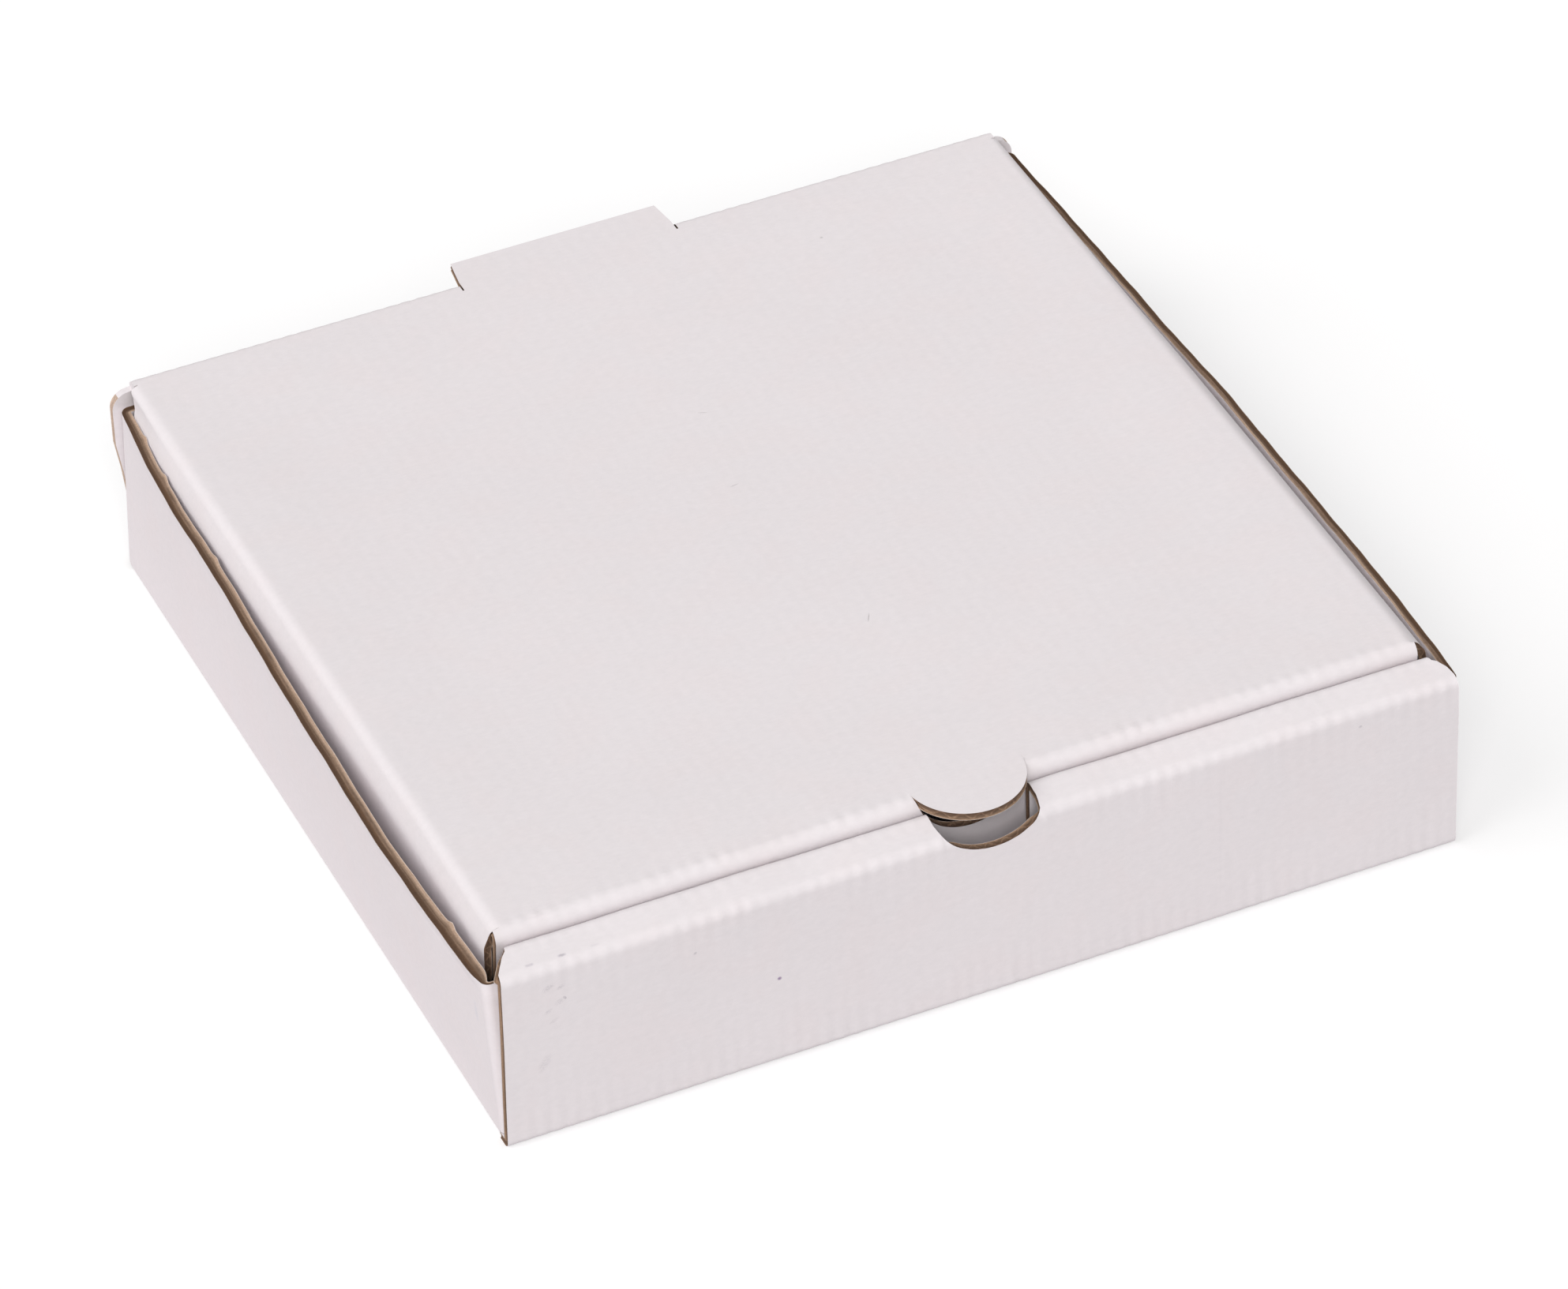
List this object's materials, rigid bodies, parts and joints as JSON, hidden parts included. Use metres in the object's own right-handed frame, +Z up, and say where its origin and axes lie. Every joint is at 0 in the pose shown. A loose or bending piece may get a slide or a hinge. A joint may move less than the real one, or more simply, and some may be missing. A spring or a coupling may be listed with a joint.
{
  "type": "tuck front mailer box",
  "caption": "Low square white corrugated box, folded from one sheet, with a hinged lid that tucks behind a rolled double front wall with a thumb notch.",
  "frame": {"origin": "middle of the underside of the bottom panel", "axes": "+Z up, through the lid; the front wall with the thumb notch faces -Y and the hinge fold is at +Y; +X is to the right when the front is seen"},
  "size_m": [0.2118, 0.2129, 0.046],
  "materials": {
    "board": "matt white liner on both faces of fluted board, with brown raw edges"
  },
  "bodies": {
    "tray": {"tray": "board"},
    "lid": {"lid": "board"}
  },
  "joints": [
    {"name": "lid_hinge", "type": "hinge", "parent": "tray", "child": "lid", "pos_m": [0, 0.103, 0.046], "axis": [-1, 0, 0], "range_deg": [0, 180]}
  ]
}
